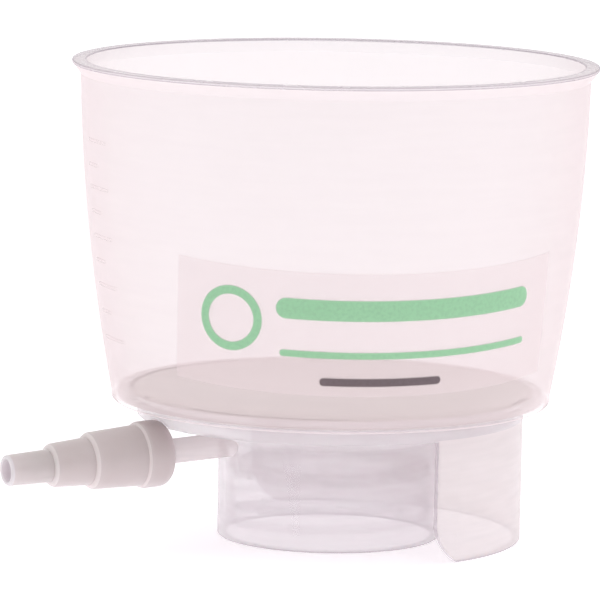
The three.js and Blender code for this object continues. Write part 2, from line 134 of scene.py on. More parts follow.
SEAL_INNER = 15.5 * MM

COLLAR_RADIUS = 7.5 * MM
COLLAR_LENGTH = 7.4 * MM
COLLAR_ROUND = 2.6 * MM
COLLAR_RELIEF = 0.4 * MM  # cut out of the pan's ring round the collar
COLLAR_RISE = 1.65 * MM  # of the collar's top, above the pan's underside
ADAPTER_START = PAN_RADIUS - 1.7 * MM
SHOULDER = 1.4 * MM
TIP_ROUND = 0.7 * MM
ADAPTER_STEPS = (  # radius at the thick end, radius at the thin end, length
    (6.85 * MM, 6.4 * MM, 12.2 * MM),
    (5.35 * MM, 4.9 * MM, 9.4 * MM),
    (3.7 * MM, 3.45 * MM, 10.28 * MM),
)
ADAPTER_BORE = 2.5 * MM
ADAPTER_SIDES = 96

PORT_RADIUS = 2.8 * MM
PORT_BORE = 1.9 * MM
PORT_ENGAGEMENT = 15.9 * MM  # how far it reaches into the adapter
PORT_HEIGHT = PAN_UNDERSIDE + COLLAR_RISE - COLLAR_RADIUS  # of its axis, at the adapter's collar
BOSS_RADIUS = PORT_RADIUS + 0.45 * MM
BOSS_REACH = SEAL_INNER - 1.1 * MM - BOSS_RADIUS
SOCKET_RADIUS = PORT_RADIUS + 0.3 * MM
SOCKET_DEPTH = PORT_ENGAGEMENT + 0.3 * MM

DROOP = math.radians(2.4)  # the port slopes down a little towards its open end
PORT_ALONG = Vector((-math.cos(DROOP), 0, -math.sin(DROOP)))
PORT_ABOVE = Vector((-math.sin(DROOP), 0, math.cos(DROOP)))
COLLAR_END = Vector((AXIS_X - ADAPTER_START, 0, PORT_HEIGHT))
BOSS_MIDDLE = COLLAR_END - PORT_ALONG * ((ADAPTER_START - BOSS_REACH) / math.cos(DROOP))

LABEL_WIDTH = 93.2 * MM
LABEL_HEIGHT = 27.4 * MM
LABEL_BOTTOM = SEAT + 6.35 * MM
LABEL_DIRECTION = math.radians(-107.9)
LABEL_CURL = 0.77  # how far its edges follow the cone's own curve
LABEL_GAP = 0.15 * MM
LABEL_THICKNESS = 0.15 * MM
LABEL_GRID = (120, 24)  # squares along it and up it

SCALE_DIRECTION = math.radians(173)
SCALE_FIRST, SCALE_LAST, SCALE_STEP, SCALE_LONG = 100, 500, 50, 100  # millilitres
SCALE_LONG_WIDTH = 11.0 * MM
SCALE_SHORT_WIDTH = 6.0 * MM
SCALE_LINE = 0.7 * MM
SCALE_RELIEF = 0.35 * MM
SCALE_ROOT = 0.1 * MM


# ---------------------------------------------------------------------------
# Camera, floor and light
# ---------------------------------------------------------------------------
VIEW_AZIMUTH = math.radians(-29)
FRONT = Vector((math.sin(VIEW_AZIMUTH), -math.cos(VIEW_AZIMUTH), 0))  # towards the camera
FLOOR_GLOW = 0.45
SKY_LIGHT = 0.97
FRONT_LIGHT = 0.42  # how bright the side that the camera stands on is


def make_camera():
    """The viewpoint: a little above the unit and far off, with the port to the left."""
    distance, height = 1180.46 * MM, 218.98 * MM
    pitch, yaw, roll = 0.13925, -0.006127, 0.017208  # radians
    swing = Matrix.Rotation(VIEW_AZIMUTH, 3, "Z")
    ahead = Vector((math.sin(yaw), math.cos(yaw), 0)) * math.cos(pitch)
    forward = swing @ (ahead - Vector((0, 0, math.sin(pitch))))
    level = swing @ Vector((math.cos(yaw), -math.sin(yaw), 0))
    above = level.cross(forward)
    right = level * math.cos(roll) + above * math.sin(roll)
    up = above * math.cos(roll) - level * math.sin(roll)
    data = bpy.data.cameras.new("camera")
    data.sensor_width = 36
    data.lens = 315.64
    data.clip_start, data.clip_end = 0.05, 20
    camera = bpy.data.objects.new("camera", data)
    bpy.context.scene.collection.objects.link(camera)
    place = swing @ Vector((0, -distance, height)) + Vector((AXIS_X, 0, 0))
    camera.matrix_world = Matrix.Translation(place) @ Matrix((right, up, -forward)).transposed().to_4x4()
    bpy.context.scene.camera = camera


def node_tree(material):
    material.use_nodes = True
    tree = material.node_tree
    tree.nodes.clear()
    return tree


def node(tree, kind, inputs=(), **settings):
    """A shader node with its settings, and with its inputs given as values or as other nodes' outputs."""
    made = tree.nodes.new("ShaderNode" + kind)
    for name, value in settings.items():
        setattr(made, name, value)
    for name, value in dict(inputs).items():
        if isinstance(value, bpy.types.NodeSocket):
            tree.links.new(value, made.inputs[name])
        else:
            made.inputs[name].default_value = value
    return made


def maths(tree, operation, first, second=0.0):
    return node(tree, "Math", {0: first, 1: second}, operation=operation).outputs[0]


def spread(tree, value, low, high, start=0.0, end=1.0):
    """A value's range from start to end, turned into one from low to high."""
    ends = {"Value": value, "From Min": start, "From Max": end, "To Min": low, "To Max": high}
    return node(tree, "MapRange", ends).outputs["Result"]


def make_floor():
    """A plain white floor that glows a little, like a light table, and darkens only where it is shaded."""
    bpy.ops.object.select_all(action="DESELECT")
    bpy.ops.mesh.primitive_plane_add(size=8, location=(0, 0, 0))
    floor = bpy.context.object
    floor.name = "floor"
    material = bpy.data.materials.new("floor_white")
    tree = node_tree(material)
    paint = node(tree, "BsdfDiffuse", {"Color": (0.88, 0.87, 0.89, 1)})
    glow = node(tree, "Emission", {"Color": (1, 0.97, 1, 1), "Strength": FLOOR_GLOW})
    both = node(tree, "AddShader", {0: paint.outputs[0], 1: glow.outputs[0]})
    node(tree, "OutputMaterial", {"Surface": both.outputs[0]})
    floor.data.materials.append(material)


def make_world():
    """Even light from all round, weaker on the camera's side, and plain white where it is seen."""
    world = bpy.data.worlds.new("studio")
    bpy.context.scene.world = world
    tree = node_tree(world)
    way = node(tree, "TexCoord").outputs["Generated"]
    facing = node(tree, "VectorMath", {0: way, 1: FRONT}, operation="DOT_PRODUCT").outputs["Value"]
    brightness = spread(tree, facing, SKY_LIGHT, FRONT_LIGHT, start=-0.4, end=0.8)
    light = node(tree, "Background", {"Color": (1.0, 0.99, 0.985, 1), "Strength": brightness})
    white = node(tree, "Background", {"Color": (1, 1, 1, 1), "Strength": 1.0})
    path = node(tree, "LightPath").outputs
    seen = maths(tree, "MAXIMUM", path["Is Camera Ray"], path["Is Transmission Ray"])
    mix = node(tree, "MixShader", {0: seen, 1: light.outputs[0], 2: white.outputs[0]})
    node(tree, "OutputWorld", {"Surface": mix.outputs[0]})


def make_softbox(name, place, size, power, aim):
    data = bpy.data.lights.new(name, "AREA")
    data.shape = "RECTANGLE"
    data.size, data.size_y = size
    data.energy = power
    lamp = bpy.data.objects.new(name, data)
    bpy.context.scene.collection.objects.link(lamp)
    lamp.location = place
    lamp.rotation_euler = (Vector(aim) - Vector(place)).to_track_quat("-Z", "Y").to_euler()


# ---------------------------------------------------------------------------
# Modelling tools
# ---------------------------------------------------------------------------
def pick(*pieces):
    """Selects these objects and no others, with the first one active."""
    bpy.ops.object.select_all(action="DESELECT")
    for piece in pieces:
        piece.select_set(True)
    bpy.context.view_layer.objects.active = pieces[0]


def at(radius, height):
    """A point of an outline: its distance from the funnel's axis and its height."""
    return Vector((AXIS_X + radius, 0, height))


def bend(radius, height, size, start, end, steps):
    """Points round an arc about (radius, height), from one angle to another in degrees."""
    angles = [math.radians(start + (end - start) * i / steps) for i in range(steps + 1)]
    return [at(radius + size * math.cos(a), height + size * math.sin(a)) for a in angles]


def draw(name, points):
    """Starts an object at the origin, in edit mode, as a closed chain of edges through the points."""
    bpy.ops.object.select_all(action="DESELECT")
    bpy.ops.mesh.primitive_plane_add(size=MM, location=(0, 0, 0))
    piece = bpy.context.object
    piece.name = name
    bpy.ops.object.mode_set(mode="EDIT")
    bpy.ops.mesh.merge(type="CENTER")
    bpy.ops.transform.translate(value=points[0])
    for here, there in zip(points, points[1:] + points[:1]):
        bpy.ops.mesh.extrude_vertices_move(TRANSFORM_OT_translate={"value": there - here})
    bpy.ops.mesh.select_all(action="SELECT")
    bpy.ops.mesh.remove_doubles(threshold=MERGE_DISTANCE)
    return piece


def finish_edit(piece):
    bpy.ops.mesh.select_all(action="SELECT")
    bpy.ops.mesh.remove_doubles(threshold=MERGE_DISTANCE)
    bpy.ops.mesh.normals_make_consistent(inside=False)
    bpy.ops.object.mode_set(mode="OBJECT")
    return piece


def spun(name, points, sides=ROUND_SIDES, centre=None, axis=(0, 0, 1)):
    """An outline turned all the way round the funnel's axis, or round another."""
    piece = draw(name, points)
    bpy.ops.mesh.spin(
        steps=sides, angle=2 * math.pi, center=centre or (AXIS_X, 0, 0), axis=axis, use_auto_merge=True
    )
    return finish_edit(piece)


def plate(name, points, thickness, degrees):
    """An outline filled, thickened and turned to stand on a radius of the unit."""
    piece = draw(name, points)
    bpy.ops.mesh.edge_face_add()
    bpy.ops.transform.translate(value=(0, -thickness / 2, 0))
    bpy.ops.mesh.extrude_region_move(TRANSFORM_OT_translate={"value": (0, thickness, 0)})
    finish_edit(piece)
    turn(piece, degrees)
    return piece


def turn(piece, degrees):
    """Turns a piece's mesh about the funnel's axis."""
    centre = Vector((AXIS_X, 0, 0))
    spin = Matrix.Rotation(math.radians(degrees), 4, "Z")
    piece.data.transform(Matrix.Translation(centre) @ spin @ Matrix.Translation(-centre))


def rod(name, start, end, radius):
    """A plain bar between two points, for joining to a moulding or cutting a hole in it."""
    bpy.ops.object.select_all(action="DESELECT")
    bpy.ops.mesh.primitive_cylinder_add(
        vertices=SMALL_SIDES,
        radius=radius,
        depth=(end - start).length,
        location=(start + end) / 2,
        rotation=(end - start).to_track_quat("Z", "Y").to_euler(),
    )
    piece = bpy.context.object
    piece.name = name
    settle(piece)
    return piece


def settle(piece):
    """Moves an object's place into its mesh."""
    pick(piece)
    bpy.ops.object.transform_apply(location=True, rotation=True, scale=True)


def apply_modifiers(piece):
    pick(piece)
    for modifier in list(piece.modifiers):
        bpy.ops.object.modifier_apply(modifier=modifier.name)


def combine(piece, others, operation):
    """Joins other solids to a piece, or cuts them from it, and removes them."""
    for other in others:
        modifier = piece.modifiers.new("combine", "BOOLEAN")
        modifier.operation = operation
        modifier.solver = "EXACT"
        modifier.object = other
        apply_modifiers(piece)
        bpy.data.objects.remove(other)
    return piece


def join_objects(name, pieces):
    pick(*pieces)
    bpy.ops.object.join()
    pieces[0].name = name
    return pieces[0]


def smooth(piece, degrees=32):
    """Shades a piece smooth, except where its faces meet at more than an angle."""
    pick(piece)
    bpy.ops.object.shade_smooth_by_angle(angle=math.radians(degrees))


# ---------------------------------------------------------------------------
# Funnel
# ---------------------------------------------------------------------------
def wall_radius(height):
    """Outside radius of the funnel's wall: a cone from foot to mouth with a gentle swell."""
    rise = (height - SEAT) / (RIM_TOP - SEAT)
    cone = FOOT_RADIUS + (MOUTH_RADIUS - FOOT_RADIUS) * rise
    return cone + 4 * WALL_SWELL * rise * (1 - rise)


def wall_points(low, high, inset):
    heights = [low + (high - low) * i / WALL_STEPS for i in range(WALL_STEPS + 1)]
    return [at(wall_radius(z) - inset, z) for z in heights]


def funnel_outline():
    """The wall's section: foot, outside, lip, inside, and the ring that clamps the membrane."""
    chamfer = 0.12 * MM
    fillet = 1.1 * MM
    clamp_round = 0.3 * MM
    wall_foot = FUNNEL_FOOT + FOOT_ROUND + 1 * MM
    bore_foot = CLAMP_TOP + 1.6 * MM
    bore_top = RIM_TOP - 2 * MM
    return [
        at(INNER_FOOT, FUNNEL_FOOT + chamfer),
        at(INNER_FOOT + chamfer, FUNNEL_FOOT),
        *bend(FOOT_RADIUS - FOOT_ROUND, FUNNEL_FOOT + FOOT_ROUND, FOOT_ROUND, -90, 0, 8),
        *wall_points(wall_foot, LIP_FOOT, 0),
        *bend(LIP_RADIUS - LIP_ROUND, RIM_TOP - LIP_EDGE + LIP_ROUND, LIP_ROUND, -60, 0, 3),
        *bend(LIP_RADIUS - LIP_ROUND, RIM_TOP - LIP_ROUND, LIP_ROUND, 0, 90, 4),
        *bend(MOUTH_RADIUS - WALL + RIM_ROUND, RIM_TOP - RIM_ROUND, RIM_ROUND, 90, 180, 4),
        *reversed(wall_points(bore_foot, bore_top, WALL)),
        *bend(INNER_FOOT - fillet, CLAMP_TOP + fillet, fillet, 0, -90, 5),
        *bend(CLAMP_RADIUS + clamp_round, CLAMP_TOP - clamp_round, clamp_round, 90, 180, 3),
        at(CLAMP_RADIUS, CLAMP_UNDERSIDE),
        at(INNER_FOOT, CLAMP_UNDERSIDE),
    ]


def liquid_height(millilitres):
    """Height of the liquid at which the funnel holds a volume."""
    slice_height = 0.5 * MM
    height = CLAMP_TOP
    volume = math.pi * CLAMP_RADIUS**2 * (CLAMP_TOP - CLAMP_UNDERSIDE)
    while volume < millilitres * MILLILITRE:
        volume += math.pi * (wall_radius(height + slice_height / 2) - WALL) ** 2 * slice_height
        height += slice_height
    return height


def on_wall(angle, height, offset):
    """A point that stands off the funnel's outer wall by an offset."""
    radius = wall_radius(height) + offset
    return Vector((AXIS_X + radius * math.cos(angle), radius * math.sin(angle), height))


def scale_mark(millilitres):
    """One moulded line of the volume scale, a low bar that follows the wall."""
    height = liquid_height(millilitres)
    width = SCALE_LONG_WIDTH if millilitres % SCALE_LONG == 0 else SCALE_SHORT_WIDTH
    bpy.ops.object.select_all(action="DESELECT")
    bpy.ops.mesh.primitive_grid_add(x_subdivisions=8, y_subdivisions=2, size=1)
    mark = bpy.context.object
    start = SCALE_DIRECTION - SCALE_LONG_WIDTH / 2 / wall_radius(height)
    for vertex in mark.data.vertices:
        across, up = vertex.co.x + 0.5, vertex.co.y
        angle = start + across * width / wall_radius(height)
        vertex.co = on_wall(angle, height + up * SCALE_LINE, -SCALE_ROOT)
    bpy.ops.object.mode_set(mode="EDIT")
    bpy.ops.mesh.select_all(action="SELECT")
    bpy.ops.mesh.extrude_region_shrink_fatten(
        TRANSFORM_OT_shrink_fatten={"value": SCALE_ROOT + SCALE_RELIEF}
    )
    return finish_edit(mark)


def make_funnel():
    wall = spun("funnel_wall", funnel_outline())
    marks = [scale_mark(ml) for ml in range(SCALE_FIRST, SCALE_LAST + 1, SCALE_STEP)]
    funnel = join_objects("funnel_moulding", [wall, *marks])
    smooth(funnel)
    return funnel


# ---------------------------------------------------------------------------
# Base moulding
# ---------------------------------------------------------------------------
def pan_underside(radius):
    """Height of the pan's underside: level under the shelf, and falling from its edge to the neck."""
    fall = (SHELF_EDGE - radius) / (SHELF_EDGE - NECK_RADIUS)
    return PAN_UNDERSIDE - (PAN_UNDERSIDE - PAN_AT_NECK) * max(0, fall)


def pan_floor(radius):
    return pan_underside(radius) + PAN_FLOOR


def well_floor(radius):
    """Height of the well's floor, which falls a little towards the spout."""
    out = (radius - SPOUT_BORE) / (WELL_RADIUS - SPOUT_BORE)
    return LAND_UNDERSIDE + LAND_THICKNESS + WELL_FALL * out


def pan_and_neck_outline():
    """The base's section: spout, neck, pan, flange, and the floors of the pan and of the well."""
    ring_bore = PAN_RADIUS - PAN_WALL
    spout_outside = SPOUT_BORE + SPOUT_WALL
    spout_chamfer = 0.35 * MM
    spout_mouth = 1 * MM
    fillet = 0.5 * MM
    return [
        at(SPOUT_BORE, SPOUT_TIP + SPOUT_BEVEL),
        at(spout_outside - spout_chamfer, SPOUT_TIP),
        at(spout_outside, LAND_UNDERSIDE - fillet),
        at(spout_outside + fillet, LAND_UNDERSIDE),
        at(NECK_BORE - fillet, LAND_UNDERSIDE),
        at(NECK_BORE, LAND_UNDERSIDE - fillet),
        *bend(NECK_BORE + NECK_EDGE, NECK_EDGE, NECK_EDGE, 180, 270, 4),
        *bend(NECK_RADIUS - NECK_EDGE, NECK_EDGE, NECK_EDGE, -90, 0, 4),
        at(NECK_RADIUS, PAN_AT_NECK - 2 * fillet),
        at(NECK_RADIUS + 0.6 * fillet, PAN_AT_NECK - 0.6 * fillet),
        at(NECK_RADIUS + 2 * fillet, pan_underside(NECK_RADIUS + 2 * fillet)),
        at(SHELF_EDGE - fillet, pan_underside(SHELF_EDGE - fillet)),
        at(SHELF_EDGE + fillet, PAN_UNDERSIDE),
        *bend(PAN_RADIUS - PAN_ROUND, PAN_UNDERSIDE + PAN_ROUND, PAN_ROUND, -90, 0, 4),
        at(PAN_RADIUS, FLANGE_UNDERSIDE - fillet),
        at(PAN_RADIUS + fillet, FLANGE_UNDERSIDE),
        at(FLANGE_RADIUS, FLANGE_UNDERSIDE),
        at(FLANGE_RADIUS, CLAMP_UNDERSIDE),
        at(WELD_RADIUS, CLAMP_UNDERSIDE),
        at(WELD_RADIUS, SEAT),
        at(ring_bore, SEAT),
        at(ring_bore, pan_floor(ring_bore) + fillet),
        at(ring_bore - fillet, pan_floor(ring_bore)),
        at(SHELF_EDGE, pan_floor(SHELF_EDGE)),
        at(WELL_RADIUS + fillet, pan_floor(WELL_RADIUS + fillet)),
        at(WELL_RADIUS, pan_floor(WELL_RADIUS) - fillet),
        at(WELL_RADIUS, well_floor(WELL_RADIUS) + fillet),
        at(WELL_RADIUS - fillet, well_floor(WELL_RADIUS)),
        at(SPOUT_BORE + spout_mouth, well_floor(SPOUT_BORE + spout_mouth)),
        at(SPOUT_BORE, well_floor(SPOUT_BORE) - spout_mouth),
    ]


def support_rib(inner_end, degrees):
    """A rib that stands on the pan's floor, and on the well's if it reaches in that far."""
    sink = PAN_FLOOR / 3
    outer = PAN_RADIUS - PAN_WALL / 2
    outline = [
        at(outer, RIB_TOP),
        at(outer, pan_floor(outer) - sink),
        at(SHELF_EDGE, pan_floor(SHELF_EDGE) - sink),
    ]
    if inner_end < WELL_RADIUS:
        wall_middle = WELL_RADIUS + (NECK_RADIUS - WELL_RADIUS) / 2
        outline += [
            at(wall_middle, pan_floor(WELL_RADIUS) - sink),
            at(wall_middle, well_floor(WELL_RADIUS) - sink),
            at(inner_end, well_floor(inner_end) - sink),
        ]
    else:
        outline.append(at(inner_end, pan_floor(inner_end) - sink))
    outline.append(at(inner_end, RIB_TOP))
    return plate("rib", outline, RIB_THICKNESS, degrees)


def curve(start, pull, end, steps):
    """Points on a curve from start to end that is drawn towards pull."""
    shares = [i / steps for i in range(steps + 1)]
    return [start * (1 - t) ** 2 + pull * 2 * t * (1 - t) + end * t**2 for t in shares]


def gusset(degrees):
    """A tall web with a hollow edge, in the corner between the neck and the pan."""
    inside = (NECK_RADIUS + WELL_RADIUS) / 2
    sink = PAN_FLOOR / 2
    foot = at(NECK_RADIUS, PAN_AT_NECK - GUSSET_HEIGHT)
    tip = at(GUSSET_TIP, pan_underside(GUSSET_TIP))
    out, up = GUSSET_PULL
    pull = Vector((foot.x + (tip.x - foot.x) * out, 0, foot.z + (tip.z - foot.z) * up))
    outline = [
        at(inside, PAN_AT_NECK - GUSSET_HEIGHT),
        *curve(foot, pull, tip, 12),
        at(GUSSET_TIP, pan_underside(GUSSET_TIP) + sink),
        at(inside, PAN_AT_NECK + sink),
    ]
    return plate("gusset", outline, GUSSET_THICKNESS, degrees)


def skirt():
    """The half-round wall that carries the pan down to the bench, with its slanted lower corners."""
    bore = PAN_RADIUS - PAN_WALL
    root = PAN_WALL / 3
    top = PAN_UNDERSIDE + root
    edge = 0.4 * MM
    ring = spun(
        "skirt",
        [
            *bend(bore - SKIRT_DRAFT + edge, edge, edge, 180, 270, 3),
            *bend(PAN_RADIUS - SKIRT_DRAFT - edge, edge, edge, -90, 0, 3),
            at(PAN_RADIUS, PAN_UNDERSIDE + PAN_ROUND),
            at(PAN_RADIUS - root, top),
            at(bore + root, top),
            at(bore, PAN_UNDERSIDE),
        ],
    )
    margin = 1 * MM
    reach = PAN_RADIUS + margin
    below = -0.01 * MM
    pull = at(
        SKIRT_INSET + SKIRT_CUT_LENGTH / 2 * (1 - SKIRT_CUT_BOW),
        SKIRT_CUT_HEIGHT / 2 * (1 - SKIRT_CUT_BOW / 2),
    )
    corner = curve(at(SKIRT_INSET, SKIRT_CUT_HEIGHT), pull, at(SKIRT_INSET + SKIRT_CUT_LENGTH, below), 12)
    outline = [at(SKIRT_INSET, top + margin), *corner, at(reach, below), at(reach, top + margin)]
    keep = plate("skirt_side", outline, 2 * reach, 0)
    return combine(ring, [keep], "INTERSECT")


def thread():
    """A ridge that climbs the neck's bore, right-handed, and fades out at both ends."""
    root = NECK_BORE + THREAD_SINK
    crest = NECK_BORE - THREAD_HEIGHT
    section = [
        at(root, THREAD_FIRST - THREAD_ROOT / 2),
        at(crest, THREAD_FIRST - THREAD_CREST / 2),
        at(crest, THREAD_FIRST + THREAD_CREST / 2),
        at(root, THREAD_FIRST + THREAD_ROOT / 2),
    ]
    ridge = draw("thread", section)
    bpy.ops.mesh.edge_face_add()
    steps = round(THREAD_TURNS * THREAD_STEPS)
    climb = THREAD_PITCH / THREAD_STEPS
    step_angle = 2 * math.pi / THREAD_STEPS
    for _ in range(steps):
        bpy.ops.mesh.extrude_region_move(TRANSFORM_OT_translate={"value": (0, 0, climb)})
        bpy.ops.transform.rotate(
            value=-step_angle, orient_axis="Z", center_override=(AXIS_X, 0, THREAD_FIRST)
        )
    finish_edit(ridge)
    fade_thread(ridge, root, crest)
    return ridge


def fade_thread(ridge, root, crest):
    """Sinks the crest of the thread into the bore over its first and last stretches."""
    length = THREAD_TURNS * THREAD_PITCH
    middle = (root + crest) / 2
    sunk = root - 0.1 * MM
    for vertex in ridge.data.vertices:
        from_axis = Vector((vertex.co.x - AXIS_X, vertex.co.y))
        if from_axis.length > middle:
            continue
        along = (vertex.co.z - THREAD_FIRST) / length
        grown = max(0.0, min(1.0, along / THREAD_RUN_OUT, (1 - along) / THREAD_RUN_OUT))
        radius = sunk + (crest - sunk) * grown
        from_axis *= radius / from_axis.length
        vertex.co.x, vertex.co.y = AXIS_X + from_axis.x, from_axis.y


def along_port(distance, radius):
    """A point on the port: how far it is from the collar's end, and how far above the axis."""
    return COLLAR_END + PORT_ALONG * distance + PORT_ABOVE * radius


def adapter_bend(distance, radius, size, start, end, steps):
    """Points round an arc in the adapter's section; an angle of 0 points away from the axis."""
    angles = [math.radians(start + (end - start) * i / steps) for i in range(steps + 1)]
    return [along_port(distance + size * math.sin(a), radius + size * math.cos(a)) for a in angles]


def port_tube():
    """The port's tube, and the boss under its inner end that opens down into the bottle."""
    end = COLLAR_END + PORT_ALONG * PORT_ENGAGEMENT
    boss_top = BOSS_MIDDLE + Vector((0, 0, BOSS_RADIUS))
    boss_bottom = Vector((BOSS_MIDDLE.x, 0, LAND_UNDERSIDE + LAND_THICKNESS / 2))
    return [
        rod("port_tube", BOSS_MIDDLE, end, PORT_RADIUS),
        rod("port_boss", boss_bottom, boss_top, BOSS_RADIUS),
    ]


def port_bore():
    """What is cut away for the air's way: along the tube, and down through the boss."""
    margin = 1 * MM
    end = COLLAR_END + PORT_ALONG * (PORT_ENGAGEMENT + margin)
    below = Vector((BOSS_MIDDLE.x, 0, LAND_UNDERSIDE - margin))
    return [rod("port_bore", BOSS_MIDDLE, end, PORT_BORE), rod("port_drop", BOSS_MIDDLE, below, PORT_BORE)]


def collar_relief():
    """The room that the pan's ring leaves round the end of the adapter's collar."""
    outline = [
        along_port(-COLLAR_RELIEF, 0),
        *adapter_bend(COLLAR_ROUND, COLLAR_RADIUS - COLLAR_ROUND, COLLAR_ROUND + COLLAR_RELIEF, -90, 0, 8),
        along_port(2 * COLLAR_ROUND, COLLAR_RADIUS + COLLAR_RELIEF),
        along_port(2 * COLLAR_ROUND, 0),
    ]
    return spun("collar_relief", outline, SMALL_SIDES, centre=COLLAR_END, axis=PORT_ALONG)


def make_base():
    base = spun("base_moulding", pan_and_neck_outline())
    combine(base, [collar_relief()], "DIFFERENCE")
    count = RIB_SECTORS * len(RIB_ENDS)
    ribs = [support_rib(RIB_ENDS[i % len(RIB_ENDS)], 360 / count * (i + 0.5)) for i in range(count)]
    combine(base, [skirt(), join_objects("ribs", ribs), thread(), *port_tube()], "UNION")
    combine(base, port_bore(), "DIFFERENCE")
    smooth(base)
    return base


def make_webs():
    """The four webs of the base, a piece of their own so that the neck's wall runs on behind them."""
    webs = join_objects("base_webs", [gusset(degrees) for degrees in GUSSET_DIRECTIONS])
    smooth(webs)
    return webs


# ---------------------------------------------------------------------------
# Membrane, seal ring, hose adapter, label
# ---------------------------------------------------------------------------
def make_membrane():
    edge = 0.06 * MM
    outline = [
        at(0, SEAT),
        at(MEMBRANE_RADIUS - edge, SEAT),
        at(MEMBRANE_RADIUS, SEAT + edge),
        at(MEMBRANE_RADIUS, CLAMP_UNDERSIDE - edge),
        at(MEMBRANE_RADIUS - edge, CLAMP_UNDERSIDE),
        at(0, CLAMP_UNDERSIDE),
    ]
    membrane = spun("membrane_disc", outline)
    smooth(membrane)
    return membrane


def make_seal():
    rounding = 0.4 * MM
    low, high = seal_low.z, seal_high.z
    outline = [
        *bend(SEAL_INNER + rounding, low + rounding, rounding, 180, 270, 3),
        *bend(SEAL_RADIUS - rounding, low + rounding, rounding, -90, 0, 3),
        *bend(SEAL_RADIUS - rounding, high - rounding, rounding, 0, 90, 3),
        *bend(SEAL_INNER + rounding, high - rounding, rounding, 90, 180, 3),
    ]
    seal = spun("seal_ring", outline)
    smooth(seal)
    return seal


def shoulder(radius, end, size, next_radius):
    """A rounded shoulder at a step's end, as far round as the next step's radius."""
    share = max(0.0, min(1.0, (next_radius - radius + size) / size))
    return adapter_bend(end - size, radius - size, size, 0, math.degrees(math.acos(share)), 8)


def adapter_outline():
    """The adapter's section: collar, three steps that taper, tip, bore, and the socket for the tube."""
    lead = 0.3 * MM
    recess = 0.1 * MM
    points = [along_port(0, SOCKET_RADIUS + lead)]
    points += adapter_bend(COLLAR_ROUND, COLLAR_RADIUS - COLLAR_ROUND, COLLAR_ROUND, -90, 0, 10)
    points += shoulder(COLLAR_RADIUS, COLLAR_LENGTH, SHOULDER, ADAPTER_STEPS[0][0])
    reach = COLLAR_LENGTH
    next_radii = [step[0] for step in ADAPTER_STEPS[1:]] + [ADAPTER_BORE + lead]
    rounds = [SHOULDER] * (len(ADAPTER_STEPS) - 1) + [TIP_ROUND]
    for (thick, thin, length), next_radius, size in zip(ADAPTER_STEPS, next_radii, rounds):
        points.append(along_port(reach + recess, thick))
        reach += length
        points += shoulder(thin, reach, size, next_radius)
    points += [
        along_port(reach, ADAPTER_BORE + lead),
        along_port(reach - lead, ADAPTER_BORE),
        along_port(SOCKET_DEPTH + SOCKET_RADIUS - ADAPTER_BORE, ADAPTER_BORE),
        along_port(SOCKET_DEPTH, SOCKET_RADIUS),
        along_port(lead, SOCKET_RADIUS),
    ]
    return points


def make_adapter():
    adapter = spun("adapter_nozzle", adapter_outline(), ADAPTER_SIDES, centre=COLLAR_END, axis=PORT_ALONG)
    smooth(adapter)
    return adapter


def label_point(across, up, offset):
    """A flat rectangle rolled on the wall: on a cone its straight edges rise towards the ends."""
    middle = LABEL_BOTTOM + LABEL_HEIGHT / 2
    slope = (wall_radius(middle + MM) - wall_radius(middle - MM)) / (2 * MM)
    rolled_radius = wall_radius(middle) / math.sin(math.atan(slope))
    along = LABEL_WIDTH * (across - 0.5)
    height = LABEL_BOTTOM + LABEL_HEIGHT * up + LABEL_CURL * along**2 / (2 * rolled_radius)
    return on_wall(LABEL_DIRECTION + along / wall_radius(height), height, offset)


def make_label():
    bpy.ops.object.select_all(action="DESELECT")
    along, up = LABEL_GRID
    bpy.ops.mesh.primitive_grid_add(x_subdivisions=along, y_subdivisions=up, size=1, calc_uvs=True)
    label = bpy.context.object
    label.name = "label_film"
    for vertex in label.data.vertices:
        vertex.co = label_point(vertex.co.x + 0.5, vertex.co.y + 0.5, LABEL_GAP)
    thicken = label.modifiers.new("film", "SOLIDIFY")
    thicken.thickness = LABEL_THICKNESS
    thicken.offset = 1
    apply_modifiers(label)
    smooth(label, 40)
    return label


# ---------------------------------------------------------------------------
# Materials
# ---------------------------------------------------------------------------
PLASTIC_IOR = 1.49
SOAKED = 0.9  # share of its light that a milky plastic lets in
SOAK_DEPTH = 4 * MM  # how far that light gets
PINK_WHITE = (0.93, 0.81, 0.825)
MILK_WHITE = (0.90, 0.84, 0.885)


def noise(tree, size, stretch=(1, 1, 1), detail=2.0):
    """Soft noise from 0 to 1 on the piece's own place, with blobs of a size in metres."""
    place = node(tree, "TexCoord").outputs["Object"]
    scale = tuple(1 / size / s for s in stretch)
    laid = node(tree, "Mapping", {"Vector": place, "Scale": scale})
    found = node(tree, "TexNoise", {"Vector": laid.outputs[0], "Scale": 1.0, "Detail": detail})
    return found.outputs["Fac"]


def bump(tree, height, depth, strength):
    """A bump from a height of 0 to 1, as deep as depth in metres."""
    made = node(tree, "Bump", {"Height": height, "Distance": depth, "Strength": strength})
    return made.outputs["Normal"]


def finish(name, colour, roughness):
    """A material of one shader, with its plain values set on its own sockets."""
    material = bpy.data.materials.new(name)
    tree = node_tree(material)
    plain = {"Base Color": (*colour, 1), "Roughness": roughness, "IOR": PLASTIC_IOR}
    shader = node(tree, "BsdfPrincipled", plain)
    node(tree, "OutputMaterial", {"Surface": shader.outputs[0]})
    return material, tree, shader


def blend(tree, share, colour, other):
    """One colour turned into another by a share of 0 to 1."""
    return node(tree, "Mix", {0: share, 6: colour, 7: other}, data_type="RGBA").outputs[2]


def tinted(tree, shader, colour, other, share):
    """Lets the shader's colour drift between two colours."""
    drift = blend(tree, share, (*colour, 1), (*other, 1))
    tree.links.new(drift, shader.inputs["Base Color"])


